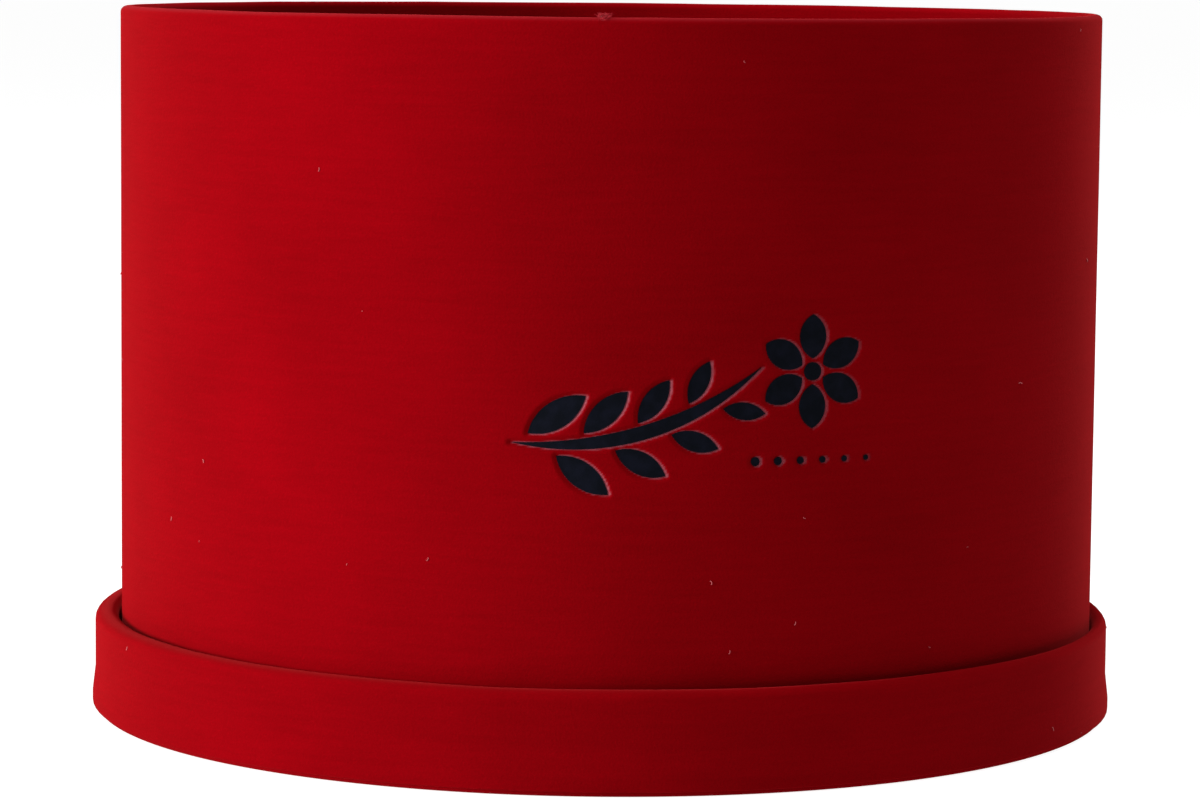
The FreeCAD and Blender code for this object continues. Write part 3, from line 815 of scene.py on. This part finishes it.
face_low, face_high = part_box("lid_face_velvet")
strip_low, strip_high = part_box("lid_rim_velvet")
ring_low, ring_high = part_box("lid_ring_board")
disc_low, disc_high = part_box("lid_disc_board")
lid_axis = Vector((0, 0, 0))
margin_outer = (face_high.y - face_low.y) / 2
ring_outer = (ring_high.y - ring_low.y) / 2
ring_inner = (disc_high.y - disc_low.y) / 2
hem_outer = (strip_high.x - strip_low.x) / 2
lid_outer = ring_outer + velvet_thick
lid_inner = ring_inner - velvet_thick
lid_fold_radius = 0.0018
lid_slack, lid_slack_down = 0.001, 0.012
swell_below, swell_above, swell_rounding = 0.0015, 0.0035, 0.006
foot_rounding, foot_step, swell_step = 0.0003, 0.001, 0.0008
taper_step, edge_step, back_step = 0.0015, 0.001, 0.01
lid_front, lid_turn = 1.0, 0.05

lid_rim_velvet = wrapped(
    "lid_rim_velvet_strip",
    lid_axis,
    [
        (margin_outer, strip_low.z, 0, plain_step),
        (hem_outer, strip_low.z, foot_rounding, foot_step),
        (hem_outer, face_high.z - swell_below, swell_rounding, swell_step),
        (lid_outer, face_high.z + swell_above, swell_rounding, taper_step),
        (lid_outer, strip_high.z, lid_fold_radius, plain_step),
        (lid_inner - lid_slack, strip_high.z, lid_fold_radius, edge_step),
        (lid_inner, strip_high.z - lid_slack_down, 0, plain_step),
        (lid_inner, disc_high.z, 0, plain_step),
        (ring_inner, disc_high.z, 0, plain_step),
        (ring_inner, ring_high.z, 0, plain_step),
        (ring_outer, ring_high.z, 0, back_step),
        (ring_outer, face_high.z + hem_outer - lid_outer, 0, plain_step),
        (margin_outer, face_high.z, 0, back_step),
    ],
    True,
    bearings(lid_front, lid_turn, lid_turn, seam_half / lid_outer, seam_step / lid_outer),
    {
        "Face radius": (ring_outer + lid_outer) / 2,
        **seam_dip,
        "Sway": 0.00015,
        "Fold wave": 0.00035,
        "Wave bottom": face_high.z + 0.008,
        "Slack": box_axis - lid_axis,
        "Fold top": strip_high.z,
        "Wave length": 0.028,
        "Seed": 4.0,
        "Velvet": red_velvet,
    },
)
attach(lid_rim_velvet, "lid")
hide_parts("lid_rim_velvet")


# --- Velvet of the lid's face ------------------------------------------------------------------------------
# A disc of the same velvet over the lid's face, which is underneath while the box stands in the lid. Its
# margin is pressed up on to the ring, under the strip.

face_rounding, face_step, margin_step, ring_step, middle_step = 0.001, 0.008, 0.003, 0.004, 0.012
face_turn = 0.03
past_the_lid = 1.0  # Further out than any of the disc, so that none of it is sunk, painted with highlight or dipped.

lid_face_velvet = wrapped(
    "lid_face_velvet_disc",
    lid_axis,
    [
        (0, face_low.z, 0, face_step),
        (margin_outer, face_low.z, face_rounding, margin_step),
        (margin_outer, face_high.z, 0, plain_step),
        (ring_outer, face_high.z, 0, ring_step),
        (ring_outer, ring_low.z, 0, middle_step),
        (0, ring_low.z, 0, plain_step),
    ],
    False,
    bearings(lid_front, face_turn, face_turn, face_turn, face_turn),
    {
        "Face radius": past_the_lid,
        "Wave length": 0.028,
        "Seed": 7.0,
        "Velvet": red_velvet,
    },
)
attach(lid_face_velvet, "lid")
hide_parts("lid_face_velvet")


# --- Lint --------------------------------------------------------------------------------------------------
# Velvet holds on to lint. Small curls of it lie scattered over the box and the lid, and a tuft of pile has
# frayed loose on the front of the rim.

# Cotton fluff dusted with red pile: a dull pink, darker where it is matted together.
cotton, tree = new_material("cotton_lint")
fluff_mm = 0.3
coords = add_node(tree, "ShaderNodeTexCoord").outputs["Object"]
fluff = add_node(tree, "ShaderNodeTexNoise", {"Vector": coords, "Scale": 1000 / fluff_mm})
fluff_colour = add_node(
    tree,
    "ShaderNodeMix",
    {"Factor": fluff, "A": linear("#942a30"), "B": linear("#b5585b")},
    data_type="RGBA",
)
fibre = add_node(tree, "ShaderNodeBsdfPrincipled", {"Base Color": fluff_colour, "Roughness": 0.9})
add_node(tree, "ShaderNodeOutputMaterial", {"Surface": fibre})

# Frayed nylon pile of the velvet's own red, paler because loose fibres scatter the light.
frayed_nylon, tree = new_material("frayed_nylon_pile")
coords = add_node(tree, "ShaderNodeTexCoord").outputs["Object"]
fray = add_node(tree, "ShaderNodeTexNoise", {"Vector": coords, "Scale": 1000 / fluff_mm})
fray_colour = add_node(
    tree,
    "ShaderNodeMix",
    {"Factor": fray, "A": linear("#86111a"), "B": linear("#a42a33")},
    data_type="RGBA",
)
fibre = add_node(
    tree, "ShaderNodeBsdfPrincipled", {"Base Color": fray_colour, "Roughness": 0.8, "Specular IOR Level": 0.1}
)
add_node(tree, "ShaderNodeOutputMaterial", {"Surface": fibre})


def lint_tree():
    """Nodes that scatter bent fibres over the outer faces of a sheet, within reach of a spot."""
    tree = bpy.data.node_groups.new("lint", "GeometryNodeTree")
    for name, kind in (
        ("Sheet", "Object"),
        ("Middle", "Vector"),
        ("Spot", "Vector"),
        ("Reach", "Float"),
        ("Fibres per m2", "Float"),
        ("Length", "Float"),
        ("Rise", "Float"),
        ("Thickness", "Float"),
        ("Seed", "Int"),
        ("Fibre", "Material"),
    ):
        tree.interface.new_socket(name, in_out="INPUT", socket_type="NodeSocket" + kind)
    tree.interface.new_socket("Lint", in_out="OUTPUT", socket_type="NodeSocketGeometry")
    given = add_node(tree, "NodeGroupInput").outputs

    # Outer faces are those whose normal leads away from the middle of the object.
    sheet = add_node(tree, "GeometryNodeObjectInfo", {"Object": given["Sheet"]}).outputs["Geometry"]
    position = add_node(tree, "GeometryNodeInputPosition")
    normal = add_node(tree, "GeometryNodeInputNormal")
    outward = add_node(tree, "ShaderNodeVectorMath", {0: position, 1: given["Middle"]}, operation="SUBTRACT")
    faces_out = add_node(tree, "ShaderNodeVectorMath", {0: normal, 1: outward}, operation="DOT_PRODUCT")
    outer = add_node(tree, "FunctionNodeCompare", {0: faces_out, 1: 0.0}, operation="GREATER_THAN")
    away = add_node(tree, "ShaderNodeVectorMath", {0: position, 1: given["Spot"]}, operation="DISTANCE")
    near = add_node(tree, "FunctionNodeCompare", {0: away, 1: given["Reach"]}, operation="LESS_THAN")
    wanted = add_node(tree, "FunctionNodeBooleanMath", {0: outer, 1: near}, operation="AND")
    spots = add_node(
        tree,
        "GeometryNodeDistributePointsOnFaces",
        {"Mesh": sheet, "Selection": wanted, "Density": given["Fibres per m2"], "Seed": given["Seed"]},
    )

    # A fibre is one bend, lying along the face and rising off it. Fibres differ in size and lie any way.
    bend_along, bend_aside = 0.5, 0.45
    smallest, largest = 0.4, 1.1
    along = add_node(tree, "ShaderNodeMath", {0: given["Length"], 1: bend_along}, operation="MULTIPLY")
    aside = add_node(tree, "ShaderNodeMath", {0: given["Length"], 1: bend_aside}, operation="MULTIPLY")
    middle = add_node(tree, "ShaderNodeCombineXYZ", {"X": along, "Y": aside, "Z": given["Rise"]})
    end = add_node(tree, "ShaderNodeCombineXYZ", {"X": given["Length"], "Z": given["Rise"]})
    bend = add_node(
        tree,
        "GeometryNodeCurveQuadraticBezier",
        {"Resolution": 6, "Start": (0, 0, 0), "Middle": middle, "End": end},
    )
    half_thick = add_node(tree, "ShaderNodeMath", {0: given["Thickness"], 1: 0.5}, operation="MULTIPLY")
    section = add_node(tree, "GeometryNodeCurvePrimitiveCircle", {"Resolution": 5, "Radius": half_thick})
    fibre = add_node(
        tree, "GeometryNodeCurveToMesh", {"Curve": bend, "Profile Curve": section, "Fill Caps": True}
    )
    size = add_node(tree, "FunctionNodeRandomValue", {2: smallest, 3: largest, "Seed": given["Seed"]})
    spin = add_node(tree, "FunctionNodeRandomValue", {2: 0.0, 3: 2 * pi, "Seed": given["Seed"]})
    turned = add_node(tree, "ShaderNodeCombineXYZ", {"Z": spin})
    laid = add_node(
        tree, "FunctionNodeRotateRotation", {0: spots.outputs["Rotation"], 1: turned}, rotation_space="LOCAL"
    )
    scattered = add_node(
        tree,
        "GeometryNodeInstanceOnPoints",
        {"Points": spots, "Instance": fibre, "Rotation": laid, "Scale": size},
    )
    real = add_node(tree, "GeometryNodeRealizeInstances", {"Geometry": scattered})
    dressed = add_node(tree, "GeometryNodeSetMaterial", {"Geometry": real, "Material": given["Fibre"]})
    add_node(tree, "NodeGroupOutput", {"Lint": dressed})
    return tree


lint = lint_tree()
tuft_bearing = radians(-9.8)
tuft_radius = box_radius - 1.1 * fold_radius  # On the top of the fold, just inside its curve.
tuft_way = Vector((sin(tuft_bearing), -cos(tuft_bearing), 0))
tuft_spot = box_axis + tuft_way * tuft_radius + up * box_sheet_high.z
everywhere = {
    "Spot": box_axis,
    "Reach": 1.0,  # Past the whole object.
    "Length": 0.0008,
    "Rise": 0.00015,
    "Thickness": 0.00018,
    "Fibres per m2": 520.0,
    "Fibre": cotton,
}
for name, body, values in (
    (
        "box_lint",
        "box",
        {**everywhere, "Sheet": box_velvet, "Middle": box_axis, "Seed": 11},
    ),
    (
        "lid_lint",
        "lid",
        {**everywhere, "Sheet": lid_rim_velvet, "Middle": lid_axis, "Seed": 5},
    ),
    (
        "rim_tuft",
        "box",
        {
            "Sheet": box_velvet,
            "Middle": box_axis,
            "Spot": tuft_spot,
            "Reach": 0.0013,
            "Fibres per m2": 3e7,
            "Length": 0.0008,
            "Rise": 0.0008,
            "Thickness": 0.00005,
            "Seed": 3,
            "Fibre": frayed_nylon,
        },
    ),
):
    fibres = made_by(lint, name, values)
    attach(fibres, body)
